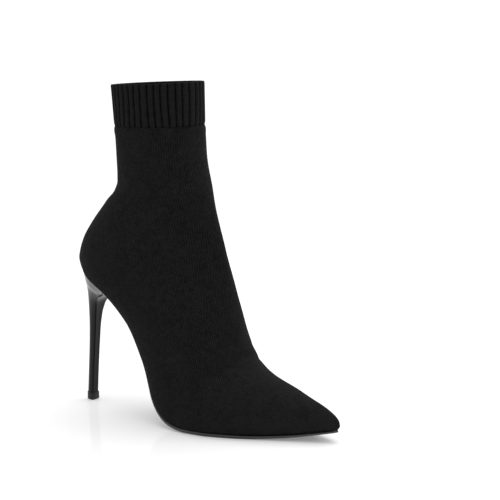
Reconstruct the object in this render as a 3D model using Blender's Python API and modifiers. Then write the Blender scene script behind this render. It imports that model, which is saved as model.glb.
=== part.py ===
# A knitted sock boot with a ribbed cuff and a stiletto heel: a right shoe, standing empty on its sole.
# The tables are in millimetres, and each point is turned to metres as it is placed.
import bmesh
import bpy
import numpy as np

MM = 0.001

# The middle of the boot's box in the tables' own x and y, which is placed over the origin.
MIDDLE_X = 124.75
MIDDLE_Y = -0.12

# Points closer than this are one point.
WELD = 0.02

# The upper: a knit on a thin lining, stiffened at the heel and toe.
WALL = 1.6
ARC_POINTS = 15
ROW_SPACING = 9.0
SEAM_TUCK = 0.6
SEAM_TUCK_HEIGHT = 1.4

# The cuff: a ribbed band, folded at the top.
CUFF_WALL = 2.2
CUFF_RIBS = 38
RIB_DEPTH = 0.8
RIB_SHOULDER = 0.1
CUFF_EDGE = 1.1
CUFF_TURN = 0.5
CUFF_EDGE_RIB = 0.6
RING_POINTS = 61

# Gap between pieces that a maker glues together.
GAP = 0.3

# The outsole: thin, set in a little under the shank, with a slight welt round the forefoot.
SOLE_THICK = 3.0
SHANK_THICK = 1.8
TOE_THICK = 2.0
WELT = 1.0
SHANK_INSET = 1.2
SOLE_CHAMFER = 0.6

# The insole board with its sock lining.
INSOLE_THICK = 2.2
INSOLE_INSET = 2.1
INSOLE_NARROWEST = 1.5
INSOLE_CHAMFER = 0.4

# How much of a slab's width each lower corner may take at a narrow end.
CHAMFER_SHARE = 0.3

# The heel and the top piece under it.
HEEL_SIDE_POINTS = 11
HEEL_BREAST_POINTS = 5
STEM_FOOT = 6.5
TOP_PIECE = 6.3
TOP_PIECE_CHAMFER = 0.8

# Sections of the last with its knit, from the collar down, then forward to the toe.
# front_x, front_z: the middle of the section at the front or on top. back_x, back_z: at the back or underneath.
# edge_out, edge_in: half widths at the sole's edge on the outer and inner side, zero where the section is closed.
# wide_out, wide_in: greatest half widths. wide_at: where these lie, as a share of the way from back to front.
# round_back, round_front: how full the section is behind and before that, where 2 is an ellipse.
COLUMNS = (
    "front_x", "front_z", "back_x", "back_z", "edge_out", "edge_in", "wide_out", "wide_in",
    "wide_at", "round_back", "round_front",
)
SECTIONS = (
    ("collar", 118.3, 263.4, 43.5, 259.8, 0.0, 0.0, 31.1, 31.1, 0.500, 2.20, 2.20),
    ("cuff_seam", 118.6, 230.0, 46.9, 228.1, 0.0, 0.0, 31.2, 31.2, 0.500, 2.20, 2.20),
    ("shaft", 121.1, 206.4, 48.0, 202.4, 0.0, 0.0, 31.1, 31.1, 0.500, 2.10, 2.10),
    ("ankle", 125.1, 187.0, 46.8, 183.4, 0.0, 0.0, 31.0, 31.0, 0.500, 2.00, 2.00),
    ("tendon", 128.8, 174.8, 36.2, 169.8, 0.0, 0.0, 30.9, 30.9, 0.475, 2.00, 2.00),
    ("counter_top", 132.0, 166.2, 20.7, 151.0, 0.0, 0.0, 30.7, 30.7, 0.450, 2.00, 2.00),
    ("counter", 134.7, 158.6, 9.2, 132.8, 0.0, 0.0, 30.2, 30.2, 0.425, 2.02, 2.00),
    ("heel_back", 137.1, 151.0, 5.3, 119.0, 0.0, 0.0, 29.5, 29.5, 0.403, 2.06, 2.00),
    ("seat_back", 139.3, 144.2, 9.2, 109.0, 0.0, 0.0, 28.9, 28.9, 0.390, 2.12, 2.00),
    ("seat_turn", 139.9, 142.3, 9.8, 108.9, 5.0, 5.0, 28.8, 28.8, 0.387, 2.13, 2.00),
    ("seat_1", 140.7, 139.9, 12.0, 108.5, 9.8, 9.8, 28.7, 28.7, 0.384, 2.15, 2.00),
    ("seat_2", 141.8, 136.3, 17.4, 107.2, 14.9, 14.9, 28.6, 28.6, 0.379, 2.18, 2.00),
    ("seat_3", 143.0, 132.1, 23.8, 105.2, 19.1, 19.0, 28.6, 28.6, 0.374, 2.22, 2.00),
    ("seat_4", 144.5, 127.1, 31.6, 102.2, 22.0, 21.7, 28.8, 28.7, 0.370, 2.26, 2.00),
    ("breast", 146.8, 119.0, 43.3, 96.2, 23.9, 22.9, 29.4, 29.2, 0.368, 2.30, 2.00),
    ("waist", 150.1, 106.3, 64.9, 76.4, 23.9, 18.9, 31.3, 30.5, 0.376, 2.30, 2.00),
    ("arch", 153.1, 91.1, 84.7, 46.2, 27.7, 20.7, 34.7, 33.7, 0.395, 2.30, 2.00),
    ("shank_foot", 155.7, 77.2, 101.6, 16.0, 34.8, 28.6, 38.9, 38.7, 0.390, 2.40, 2.00),
    ("instep", 157.6, 67.3, 115.6, 6.3, 38.8, 34.6, 41.2, 41.0, 0.360, 2.40, 2.00),
    ("instep_crease", 161.4, 56.6, 130.6, 3.6, 40.0, 37.9, 42.0, 41.9, 0.320, 2.40, 2.10),
    ("ball", 170.0, 47.3, 148.6, 3.3, 37.7, 37.9, 39.7, 39.9, 0.300, 2.40, 2.10),
    ("tread_front", 188.2, 39.6, 173.6, 3.3, 29.4, 31.4, 31.0, 33.0, 0.280, 2.40, 2.00),
    ("vamp", 204.4, 34.3, 191.2, 3.9, 21.8, 24.9, 23.1, 26.2, 0.280, 2.40, 2.00),
    ("toe_box", 218.0, 29.5, 206.4, 5.1, 14.9, 18.5, 15.8, 19.4, 0.280, 2.40, 2.00),
    ("toe_1", 228.8, 25.7, 219.4, 6.8, 9.3, 13.1, 9.9, 13.7, 0.290, 2.40, 2.00),
    ("toe_2", 236.3, 22.4, 229.2, 8.4, 5.2, 9.2, 5.6, 9.6, 0.300, 2.40, 2.00),
    ("toe_3", 240.8, 19.4, 235.8, 9.5, 2.2, 6.2, 2.5, 6.5, 0.300, 2.40, 2.00),
    ("toe_4", 243.2, 16.6, 239.6, 10.1, 0.1, 4.1, 0.3, 4.3, 0.300, 2.40, 2.00),
    ("toe_tip", 244.2, 13.6, 241.4, 10.4, -2.1, 2.1, -2.1, 2.1, 0.300, 2.40, 2.00),
)

# Levels of the cuff, from the fold down.
# below: depth under the fold as a share of the cuff, then in millimetres. turn: how far it turns in.
# rib: how much of the ribs' depth it has.
CUFF_LEVELS = (
    (0.0, 0.0, CUFF_TURN, CUFF_EDGE_RIB),
    (0.0, CUFF_EDGE, 0.0, 1.0),
    (0.5, 0.0, 0.0, 1.0),
    (1.0, -GAP - CUFF_EDGE, 0.0, 1.0),
    (1.0, -GAP, CUFF_TURN, CUFF_EDGE_RIB),
)
# One rib, as depths below its crest at even steps round the cuff.
RIB_SHAPE = (0.0, RIB_SHOULDER, RIB_DEPTH, RIB_SHOULDER)

# Sections of the heel under the seat, from the top down, and of its top piece.
# back_x, back_z and front_x, front_z: the middle of the section at the back and at the breast.
# half: half width. fullness: of the back, where 2 is an ellipse. hollow: how deep the breast is hollowed.
HEEL_SECTIONS = (
    ("rim", 9.6, 106.2, 41.3, 93.9, 21.8, 2.0, 0.0),
    ("flare_1", 9.9, 102.4, 36.0, 92.2, 16.6, 2.0, 0.5),
    ("flare_2", 10.0, 98.2, 30.0, 90.4, 12.6, 2.0, 1.0),
    ("flare_3", 10.1, 93.2, 25.6, 87.4, 9.6, 2.0, 1.2),
    ("flare_4", 10.1, 87.2, 22.5, 83.8, 7.2, 2.0, 1.1),
    ("neck", 10.2, 78.6, 20.4, 77.0, 5.2, 2.1, 0.9),
    ("stem_1", 10.3, 67.0, 18.8, 66.5, 4.0, 2.2, 0.7),
    ("stem_2", 9.9, 50.0, 17.4, 50.0, 3.6, 2.2, 0.6),
    ("stem_3", 9.0, 32.0, 16.0, 32.0, 3.5, 2.2, 0.5),
    ("stem_foot", 7.5, STEM_FOOT, 14.4, STEM_FOOT, 3.5, 2.2, 0.3),
)
TOP_PIECE_SECTIONS = (
    ("top", 6.9, TOP_PIECE, 14.8, TOP_PIECE, 3.9, 2.4, 0.0),
    ("foot", 6.7, TOP_PIECE_CHAMFER, 14.9, TOP_PIECE_CHAMFER, 4.0, 2.4, 0.0),
    ("floor", 7.2, 0.0, 14.4, 0.0, 3.5, 2.4, 0.0),
)

for old in list(bpy.data.objects):
    bpy.data.objects.remove(old, do_unlink=True)

boot = bpy.data.collections.new("sock_boot")
bpy.context.scene.collection.children.link(boot)


def material(name, red, green, blue, roughness):
    """A plain Principled material of one linear colour."""
    made = bpy.data.materials.new(name)
    made.use_nodes = True
    shader = made.node_tree.nodes["Principled BSDF"]
    shader.inputs["Base Color"].default_value = (red, green, blue, 1.0)
    shader.inputs["Roughness"].default_value = roughness
    return made


def piece(name, points, faces, paint):
    """One named object from points in millimetres, with points that coincide joined."""
    shape = bmesh.new()
    corners = [shape.verts.new(((x - MIDDLE_X) * MM, (y - MIDDLE_Y) * MM, z * MM)) for x, y, z in points]
    for face in faces:
        shape.faces.new([corners[k] for k in face])
    bmesh.ops.remove_doubles(shape, verts=shape.verts, dist=WELD * MM)
    for face in shape.faces:
        face.smooth = True
    mesh = bpy.data.meshes.new(name)
    shape.to_mesh(mesh)
    shape.free()
    made = bpy.data.objects.new(name, mesh)
    made.data.materials.append(paint)
    boot.objects.link(made)
    return made


def shell(made, thickness):
    """Gives an open surface its wall, inwards."""
    wall = made.modifiers.new("wall", "SOLIDIFY")
    wall.thickness = thickness * MM
    wall.offset = -1.0
    wall.use_rim = True


def grid_faces(rows, columns):
    """Quads between neighbouring rows of points, for rows that run down a form and points that turn to the left."""
    faces = []
    for i in range(rows - 1):
        for j in range(columns - 1):
            a = i * columns + j
            faces.append((a, a + columns, a + columns + 1, a + 1))
    return faces


def smooth_rows(table):
    """Rows on a curve through every column that never overshoots, and the row of each section by its name."""
    values = np.array([row[1:] for row in table], dtype=float)
    count = len(values)
    step = values[1:] - values[:-1]
    slope = np.zeros_like(values)
    slope[0] = step[0]
    slope[-1] = step[-1]
    for i in range(1, count - 1):
        before = step[i - 1]
        after = step[i]
        same_way = before * after > 0.0
        total = np.where(same_way, before + after, 1.0)
        slope[i] = np.where(same_way, 2.0 * before * after / total, 0.0)
    rows = []
    row_of = {}
    for i in range(count - 1):
        row_of[table[i][0]] = len(rows)
        front_move = np.hypot(step[i][0], step[i][1])
        back_move = np.hypot(step[i][2], step[i][3])
        pieces = int(np.ceil(max(front_move, back_move) / ROW_SPACING))
        for k in range(pieces):
            t = k / pieces
            rise = t * t * (3.0 - 2.0 * t)
            leave = t * (1.0 - t) * (1.0 - t)
            arrive = t * t * (t - 1.0)
            rows.append(values[i] + step[i] * rise + slope[i] * leave + slope[i + 1] * arrive)
    row_of[table[-1][0]] = len(rows)
    rows.append(values[-1])
    return np.array(rows), row_of


def section_arc(row, count):
    """Points of one section, from the sole's outer edge over the front to its inner edge."""
    front_x, front_z, back_x, back_z, edge_out, edge_in, wide_out, wide_in, wide_at, round_back, round_front = row
    half = max((wide_out + wide_in) / 2.0, WELD / 10.0)
    edge = min(max((edge_out + edge_in) / 2.0, 0.0), half * 0.999)
    wide_middle = (wide_in - wide_out) / 2.0
    edge_middle = (edge_in - edge_out) / 2.0
    reach = (1.0 - (edge / half) ** round_back) ** (1.0 / round_back)
    start = np.arccos(np.clip(reach ** (round_back / 2.0), 0.0, 1.0))
    back_count = count // 2
    low = np.linspace(start, np.pi / 2.0, back_count + 1)
    along_low = wide_at - np.cos(low) ** (2.0 / round_back) / reach * wide_at
    across_low = np.sin(low) ** (2.0 / round_back)
    high = np.linspace(np.pi / 2.0, 0.0, count - back_count)[1:]
    along_high = wide_at + np.cos(high) ** (2.0 / round_front) * (1.0 - wide_at)
    across_high = np.sin(high) ** (2.0 / round_front)
    along = np.concatenate([along_low, along_high])
    across = np.concatenate([across_low, across_high]) * half
    along = np.concatenate([along, along[:-1][::-1]])
    side = np.concatenate([-across, across[:-1][::-1]])
    below = np.clip(along / wide_at, 0.0, 1.0)
    middle = edge_middle + (wide_middle - edge_middle) * below
    x = back_x + (front_x - back_x) * along
    z = back_z + (front_z - back_z) * along
    return np.stack([x, side + middle, z], axis=1)


# Upper: the sock itself, knitted and pulled over the last, from the cuff's seam to the sole's edge.
# Its top edge is drawn in a little by the seam.
knit = material("black_knit", 0.011, 0.011, 0.012, 0.9)
upper_rows, row_of = smooth_rows(SECTIONS[1:])
arcs = [section_arc(row, ARC_POINTS) for row in upper_rows]
top_arc = arcs[0]
tuck_share = SEAM_TUCK_HEIGHT / np.linalg.norm(arcs[1][0] - top_arc[0])
under_tuck = top_arc + (arcs[1] - top_arc) * tuck_share
inward = (top_arc.mean(axis=0) - top_arc) * np.array([1.0, 1.0, 0.0])
inward = inward / np.linalg.norm(inward, axis=1)[:, None]
arcs[0] = top_arc + inward * SEAM_TUCK
arcs.insert(1, under_tuck)
upper = piece("upper", np.concatenate(arcs), grid_faces(len(arcs), 2 * ARC_POINTS - 1), knit)
shell(upper, WALL)


def even_ring(row, count):
    """A closed section as points at even spacing, and the way inwards at each."""
    ring = section_arc(row, RING_POINTS)
    ring[-1] = ring[0]
    steps = np.linalg.norm(ring[1:] - ring[:-1], axis=1)
    run = np.concatenate([[0.0], np.cumsum(steps)])
    wanted = np.arange(count) * run[-1] / count
    points = np.stack([np.interp(wanted, run, ring[:, k]) for k in range(3)], axis=1)
    tangent = np.roll(points, -1, axis=0) - np.roll(points, 1, axis=0)
    tangent[:, 2] = 0.0
    tangent = tangent / np.linalg.norm(tangent, axis=1)[:, None]
    inwards = np.stack([-tangent[:, 1], tangent[:, 0], np.zeros(count)], axis=1)
    return points, inwards


# Rib cuff: the folded band above the seam, on the upper's own sections, with ribs all round.
ribbing = material("black_ribbing", 0.013, 0.013, 0.014, 0.85)
cuff_columns = CUFF_RIBS * len(RIB_SHAPE)
rib_depths = np.tile(RIB_SHAPE, CUFF_RIBS)
collar_row = np.array(SECTIONS[0][1:])
seam_row = np.array(SECTIONS[1][1:])
cuff_height = collar_row[COLUMNS.index("front_z")] - seam_row[COLUMNS.index("front_z")]
cuff_points = []
for share, further, turn, rib in CUFF_LEVELS:
    below = share + further / cuff_height
    points, inwards = even_ring(collar_row + (seam_row - collar_row) * below, cuff_columns)
    ring = points + inwards * (rib_depths * rib + turn)[:, None]
    cuff_points.append(np.concatenate([ring, ring[:1]]))
cuff = piece("rib_cuff", np.concatenate(cuff_points), grid_faces(len(CUFF_LEVELS), cuff_columns + 1), ribbing)
shell(cuff, CUFF_WALL)

# The bottom line of the last, from the back of the heel seat to the toe, which the sole pieces follow.
bottom_rows = upper_rows[row_of["seat_back"]:]
back_x_column = COLUMNS.index("back_x")
edge_out_column = COLUMNS.index("edge_out")
bottom_line = bottom_rows[:, back_x_column:back_x_column + 2]
bottom_half = (bottom_rows[:, edge_out_column] + bottom_rows[:, edge_out_column + 1]) / 2.0
bottom_middle = (bottom_rows[:, edge_out_column + 1] - bottom_rows[:, edge_out_column]) / 2.0
line_steps = np.linalg.norm(bottom_line[1:] - bottom_line[:-1], axis=1)
line_run = np.concatenate([[0.0], np.cumsum(line_steps)])
line_tangent = np.gradient(bottom_line, line_run, axis=0)
line_tangent = line_tangent / np.linalg.norm(line_tangent, axis=1)[:, None]
line_up = np.stack([-line_tangent[:, 1], line_tangent[:, 0]], axis=1)
half_slope = np.gradient(bottom_half, line_run)


def bottom_row(name):
    """The row of a section, counted along the bottom line."""
    return row_of[name] - row_of["seat_back"]


def slab(name, rows, forward, outer, inner, top, bottom, chamfer, paint):
    """A sheet that follows the bottom line between two heights above it, with its own side outlines."""
    points = []
    for k, i in enumerate(rows):
        base = bottom_line[i] + line_tangent[i] * forward[k]
        turned = min(chamfer, (inner[k] - outer[k]) * CHAMFER_SHARE)
        section = (
            (outer[k], top[k]),
            (inner[k], top[k]),
            (inner[k], bottom[k] + chamfer),
            (inner[k] - turned, bottom[k]),
            (outer[k] + turned, bottom[k]),
            (outer[k], bottom[k] + chamfer),
        )
        for y, height in section:
            x, z = base + line_up[i] * height
            points.append((x, y, z))
    around = len(section)
    faces = []
    for k in range(len(rows) - 1):
        a = around * k
        for side in range(around):
            following = (side + 1) % around
            faces.append((a + side, a + around + side, a + around + following, a + following))
    faces.append(tuple(range(around)))
    last = around * (len(rows) - 1)
    faces.append(tuple(last + side for side in reversed(range(around))))
    return piece(name, points, faces, paint)


# Insole: the lasting board with its sock lining, inside the upper's lower edge.
lining = material("insole_lining", 0.02, 0.018, 0.017, 0.7)
insole_half = bottom_half - INSOLE_INSET * np.sqrt(1.0 + half_slope ** 2)
insole_rows = [i for i in range(len(bottom_half)) if insole_half[i] > INSOLE_NARROWEST]
insole_outer = [bottom_middle[i] - insole_half[i] for i in insole_rows]
insole_inner = [bottom_middle[i] + insole_half[i] for i in insole_rows]
level = [0.0] * len(insole_rows)
insole_top = [INSOLE_THICK] * len(insole_rows)
slab("insole", insole_rows, level, insole_outer, insole_inner, insole_top, level, INSOLE_CHAMFER, lining)

# Outsole: from the front of the heel to the toe, thin under the shank, fullest under the tread.
sole_paint = material("black_outsole", 0.012, 0.012, 0.012, 0.25)
arch_at = line_run[bottom_row("arch")]
ball_at = line_run[bottom_row("ball")]
tread_at = line_run[bottom_row("tread_front")]
sole_start = bottom_row("breast")
sole_end = len(bottom_half) - 1
sole_rows = list(range(sole_start, sole_end + 1))
sole_forward = []
sole_outer = []
sole_inner = []
sole_bottom = []
for i in sole_rows:
    forefoot = np.clip((line_run[i] - arch_at) / (ball_at - arch_at), 0.0, 1.0)
    toe = np.clip((line_run[i] - tread_at) / (line_run[-1] - tread_at), 0.0, 1.0)
    welt = WELT * forefoot - SHANK_INSET * (1.0 - forefoot)
    flat = 1.0 / np.sqrt(1.0 + half_slope[i] ** 2)
    reach = bottom_half[i] + welt * flat
    forward = -welt * half_slope[i] * flat
    if i == sole_start:
        forward = GAP
    if i == sole_end:
        reach = bottom_half[i]
        forward = welt
    thick = SHANK_THICK + (SOLE_THICK - SHANK_THICK) * forefoot - (SOLE_THICK - TOE_THICK) * toe
    sole_forward.append(forward)
    sole_outer.append(bottom_middle[i] - reach)
    sole_inner.append(bottom_middle[i] + reach)
    sole_bottom.append(-GAP - thick)
sole_top = [-GAP] * len(sole_rows)
slab("outsole", sole_rows, sole_forward, sole_outer, sole_inner, sole_top, sole_bottom, SOLE_CHAMFER, sole_paint)


def mirrored_ring(side, breast):
    """A closed ring from its outer side, the points across the breast, and the inner side."""
    outer_side = [(x, outer, z) for x, outer, inner, z in side]
    inner_side = [(x, inner, z) for x, outer, inner, z in side[1:]]
    return outer_side + breast + inner_side[::-1]


def heel_ring(section):
    """One section of the heel: round at the back, then across the breast."""
    name, back_x, back_z, front_x, front_z, half, fullness, hollow = section
    side = []
    for k in range(HEEL_SIDE_POINTS):
        turn = np.pi / 2.0 * k / (HEEL_SIDE_POINTS - 1)
        along = 1.0 - np.cos(turn) ** (2.0 / fullness)
        across = half * np.sin(turn) ** (2.0 / fullness)
        side.append((back_x + (front_x - back_x) * along, -across, across, back_z + (front_z - back_z) * along))
    breast = []
    for k in range(1, HEEL_BREAST_POINTS + 1):
        across = 2.0 * k / (HEEL_BREAST_POINTS + 1) - 1.0
        breast.append((front_x - hollow * (1.0 - across * across), half * across, front_z))
    return mirrored_ring(side, breast)


def seat_ring():
    """The heel's top outline: the seat's own edge, a gap below the last."""
    side = []
    for i in np.linspace(0, sole_start, HEEL_SIDE_POINTS).round().astype(int):
        x, z = bottom_line[i] - line_up[i] * GAP
        side.append((x, bottom_middle[i] - bottom_half[i], bottom_middle[i] + bottom_half[i], z))
    x, outer, inner, z = side[-1]
    breast = []
    for k in range(1, HEEL_BREAST_POINTS + 1):
        breast.append((x, outer + (inner - outer) * k / (HEEL_BREAST_POINTS + 1), z))
    return mirrored_ring(side, breast)


def lofted(name, rings, paint):
    """A solid through closed rings that start at the back, capped by strips from side to side."""
    count = len(rings[0])
    points = [point for ring in rings for point in ring]
    faces = []
    for i in range(len(rings) - 1):
        for j in range(count):
            following = (j + 1) % count
            faces.append((i * count + j, (i + 1) * count + j, (i + 1) * count + following, i * count + following))
    corner = HEEL_SIDE_POINTS - 1
    for start, upwards in ((0, True), (len(points) - count, False)):
        cap = [[start, start + 1, start + count - 1]]
        for j in range(1, corner):
            cap.append([start + j, start + j + 1, start + count - j - 1, start + count - j])
        cap.append([start + j for j in range(corner, count - corner + 1)])
        for face in cap:
            faces.append(face if upwards else face[::-1])
    return piece(name, points, faces, paint)


# Heel: one moulding, with a top that cups the seat and a slender stem with a hollowed breast.
heel_paint = material("black_heel_gloss", 0.01, 0.01, 0.01, 0.12)
lofted("heel", [seat_ring()] + [heel_ring(section) for section in HEEL_SECTIONS], heel_paint)

# Heel top piece: the small wear piece pinned under the stem.
top_piece_paint = material("black_top_piece", 0.014, 0.014, 0.014, 0.45)
lofted("heel_top_piece", [heel_ring(section) for section in TOP_PIECE_SECTIONS], top_piece_paint)
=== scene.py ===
import math

import bmesh
import bpy
import numpy as np
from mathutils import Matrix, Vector


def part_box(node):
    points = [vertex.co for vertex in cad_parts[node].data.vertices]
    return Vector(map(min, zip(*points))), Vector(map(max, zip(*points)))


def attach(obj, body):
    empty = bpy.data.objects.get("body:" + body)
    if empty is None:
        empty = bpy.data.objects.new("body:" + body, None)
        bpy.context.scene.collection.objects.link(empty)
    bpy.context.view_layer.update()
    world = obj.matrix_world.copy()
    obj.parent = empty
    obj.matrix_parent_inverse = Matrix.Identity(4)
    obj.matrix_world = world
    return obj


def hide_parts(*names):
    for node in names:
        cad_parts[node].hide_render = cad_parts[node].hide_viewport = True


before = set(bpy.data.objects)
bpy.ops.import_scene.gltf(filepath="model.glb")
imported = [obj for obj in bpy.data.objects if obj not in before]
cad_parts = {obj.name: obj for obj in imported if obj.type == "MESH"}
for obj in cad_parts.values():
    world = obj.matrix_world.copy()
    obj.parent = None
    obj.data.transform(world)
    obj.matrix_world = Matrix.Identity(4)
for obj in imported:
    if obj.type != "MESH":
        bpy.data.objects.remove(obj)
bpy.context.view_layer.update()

# Upper: a sock of fine black stretch knit on a thin tricot lining, pulled over the last in one piece.
# It runs from the seam under the cuff to the sole's edge, stiff over heel and toe and soft at the ankle.
# Its rows and columns are the frame's own, made smooth, with the soft creases that wearing it would start.
MM = 0.001
WELD = 0.01 * MM
KNIT_WALL = 1.6 * MM

# The frame's walls turn at their rims by more than the first. A finished edge stays sharp above the second.
SHARP_TURN = math.radians(75.0)
SHARP_EDGE = math.radians(50.0)

# Rows and columns made from each one of the frame's.
ROW_PARTS = 5
COLUMN_PARTS = 4

# The nose: how far back it reaches, how much of the wall its tip has, and the share of it with no crease.
NOSE_LENGTH = 14.0 * MM
NOSE_WALL_SHARE = 0.15
NOSE_UNCREASED = 0.1

# The nose is filled forwards under its tip, so that it rounds down to the sole: by how much, how far back,
# from what height down, and the depth in which it gets full.
NOSE_FILL = 1.5 * MM
NOSE_FILL_LENGTH = 12.0 * MM
NOSE_FILL_TOP = 13.6 * MM
NOSE_FILL_HEIGHT = 3.2 * MM

# From the seat to the toe the knit's edge comes down by this, which closes the frame's gap to heel and sole.
EDGE_DROP = 0.25 * MM

# A wale is a column of stitches and a course is a row. Both are drawn coarser than real ones, so as to show.
WALE_SPACING = 1.85 * MM
COURSE_SPACING = 1.45 * MM

# How far the legs of a stitch run along their course, in radians of it for a whole wale.
STITCH_SLANT = 4.2

# The size of the nap's loose ends, and of the lighter patches and wider clouds that they make together.
FUZZ_SIZE = 1.111 * MM
PATCH_SIZE = 4.348 * MM
CLOUD_SIZE = 13.33 * MM

# The furrow between two wales: how narrow it is, where 1 is a sine, and about the mean height that it leaves.
FURROW_POWER = 0.6
FURROW_MEAN = 0.72

# How high the stitches and the nap stand, with a wale's crest as 1, and how deep the whole relief is.
STITCH_RELIEF = 0.16
FUZZ_RELIEF = 0.55
KNIT_RELIEF = 0.30 * MM

# How much each pattern adds to the knit's tone, and the tones where it is darkest and lightest.
# The wales and the clouds have a pair: from the shaft to the instep, and over the forefoot. The wales' pair
# darkens their furrows as painted shade, and the clouds' larger share over the forefoot lightens it as
# painted light from above.
FUZZ_TONE = 1.50
PATCH_TONE = 1.30
FURROW_SHADE_TONES = (0.65, 0.85)
CLOUD_TONES_AND_FOREFOOT_LIGHT = (0.33, 0.77)
DARKEST_TONE = 1.11
LIGHTEST_TONE = 1.96

# Distances down the front line, from the top: where the wales start to drift and where the forefoot starts,
# with the length in which it becomes full. Then how fast the wales drift to the outer side over the midfoot
# and over the forefoot.
DRIFT_FROM = 75.0 * MM
FOREFOOT_FROM = 165.0 * MM
FOREFOOT_CHANGE = 60.0 * MM
DRIFT_MIDFOOT = 0.12
DRIFT_FOREFOOT = 0.50

# Creases in millimetres. front_z: height where the crease's line meets the front. middle: how far it is from
# the front line, less than 0 on the outer side. reach: how far it runs to each side. width: of the trough.
# rise: how much its ends turn up the shaft. depth: of the trough, less than 0 for a ridge.
CREASES = (
    ("instep_break", 54.5, -16.0, 32.0, 3.2, 7.0, 2.00),
    ("instep_break_inner", 54.5, 14.0, 22.0, 3.2, 3.0, 1.50),
    ("roll_above_break", 65.0, -6.0, 34.0, 8.0, 6.0, -1.10),
    ("second_break", 79.0, -26.0, 20.0, 4.0, 6.0, 0.45),
    ("vamp_swell", 47.0, -22.0, 28.0, 4.5, 5.0, -0.90),
    ("tendon_break_outer", 180.0, -98.0, 24.0, 5.5, 0.0, 0.75),
    ("tendon_break_inner", 180.0, 98.0, 24.0, 5.5, 0.0, 0.75),
    ("ankle_fold_outer", 172.0, -56.0, 22.0, 8.0, -6.0, 0.35),
    ("ankle_fold_inner", 170.0, 56.0, 22.0, 8.0, -6.0, 0.35),
    ("shaft_slack_front", 200.0, -20.0, 30.0, 11.0, 4.0, 0.30),
)

# How round the bottom of a crease is, as a share of its width.
VALLEY_ROUND = 0.3

# A very slight unevenness all over, as in any cloth that isn't under tension: its height, and for each wave
# its length across and down in metres, and where in its turn it starts.
EASE_HEIGHT = 0.16 * MM
EASE_WAVES = ((0.061, 0.047, 0.3), (0.043, 0.083, 1.9), (0.088, 0.034, 4.1))

# The places of a Mix node's two colours among its inputs, and of the mixed colour among its outputs.
COLOUR_A = 6
COLOUR_B = 7
MIXED_COLOUR = 2


def joined_shape(node_name):
    """The frame's mesh of one node, with the corners of its loose triangles merged."""
    shape = bmesh.new()
    shape.from_mesh(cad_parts[node_name].data)
    bmesh.ops.remove_doubles(shape, verts=shape.verts, dist=WELD)
    return shape


def keep_outer_skin(shape):
    """Deletes all but the points of the largest run of faces that meet at no sharp edge."""
    runs = []
    met = set()
    for first in shape.faces:
        if first in met:
            continue
        met.add(first)
        run = [first]
        for face in run:
            for edge in face.edges:
                for other in edge.link_faces:
                    if other not in met and edge.calc_face_angle(math.pi) < SHARP_TURN:
                        met.add(other)
                        run.append(other)
        runs.append(run)
    largest = max(runs, key=lambda run: sum(face.calc_area() for face in run))
    outer = {corner for face in largest for corner in face.verts}
    others = [corner for corner in shape.verts if corner not in outer]
    bmesh.ops.delete(shape, geom=others, context="VERTS")


def rows_from(first_row):
    """Rows of points, each one edge further from the first row."""
    rows = [set(first_row)]
    met = set(first_row)
    while True:
        following = {edge.other_vert(point) for point in rows[-1] for edge in point.link_edges} - met
        if not following:
            return rows
        rows.append(following)
        met |= following


def in_order(row):
    """A row's places from its outer end over the front to its inner end.
    A ring starts at the back and ends there again."""
    beside = {}
    for point in row:
        others = [edge.other_vert(point) for edge in point.link_edges]
        beside[point] = [other for other in others if other in row]
    ends = [point for point in row if len(beside[point]) == 1]
    if ends:
        line = [min(ends, key=lambda point: (round(point.co.y, 5), point.co.z))]
    else:
        line = [min(row, key=lambda point: point.co.x)]
    while True:
        further = [point for point in beside[line[-1]] if point not in line]
        if not further:
            break
        line.append(min(further, key=lambda point: point.co.y))
    places = [point.co.copy() for point in line]
    if not ends:
        places.append(places[0])
    return places


def top_row_of(shape, node_name):
    """The skin's points along its upper rim."""
    low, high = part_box(node_name)
    middle = (low.z + high.z) / 2.0
    return [point for point in shape.verts if point.is_boundary and point.co.z > middle]


def skin_grid(node_name):
    """The outer skin of a walled node as an array of rows, from the top down.
    The row at the toe's tip is a line of few points, so it runs there and back."""
    shape = joined_shape(node_name)
    keep_outer_skin(shape)
    rows = [in_order(row) for row in rows_from(top_row_of(shape, node_name))]
    shape.free()
    columns = len(rows[0])
    for k, row in enumerate(rows):
        if len(row) < columns:
            rows[k] = row + row[-2::-1]
    return np.array([[tuple(place) for place in row] for row in rows])


def piece_of(name, shape, *paints):
    """A new piece of the boot from a bmesh, with its materials."""
    mesh = bpy.data.meshes.new(name)
    shape.to_mesh(mesh)
    shape.free()
    made = bpy.data.objects.new(name, mesh)
    for paint in paints:
        mesh.materials.append(paint)
    bpy.context.scene.collection.objects.link(made)
    return made


def smooth_through(rows, parts, before=None, after=None):
    """Rows of points with more rows between them, on smooth curves through every point.
    before and after are the rows that come next beyond the ends, where there are any."""
    before = 2.0 * rows[0] - rows[1] if before is None else before
    after = 2.0 * rows[-1] - rows[-2] if after is None else after
    padded = np.concatenate([before[None], rows, after[None]])
    steps = np.diff(padded, axis=0)
    lengths = np.maximum(np.linalg.norm(steps, axis=-1, keepdims=True), WELD)
    slopes = steps / lengths
    tangents = (slopes[:-1] * lengths[1:] + slopes[1:] * lengths[:-1]) / (lengths[:-1] + lengths[1:])
    made = []
    for i in range(len(rows) - 1):
        for t in np.arange(parts) / parts:
            turn = tangents[i] * t * (1.0 - t) ** 2 + tangents[i + 1] * t * t * (t - 1.0)
            made.append(rows[i] + steps[i + 1] * t * t * (3.0 - 2.0 * t) + lengths[i + 1] * turn)
    made.append(rows[-1])
    return np.array(made)


def smooth_along(row, parts):
    """One row of points with more points between them.
    A ring, which ends where it starts, is smooth there too."""
    points = row[:, None]
    if np.linalg.norm(row[0] - row[-1]) < WELD:
        return smooth_through(points, parts, before=points[-2], after=points[1])[:, 0]
    return smooth_through(points, parts)[:, 0]


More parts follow.
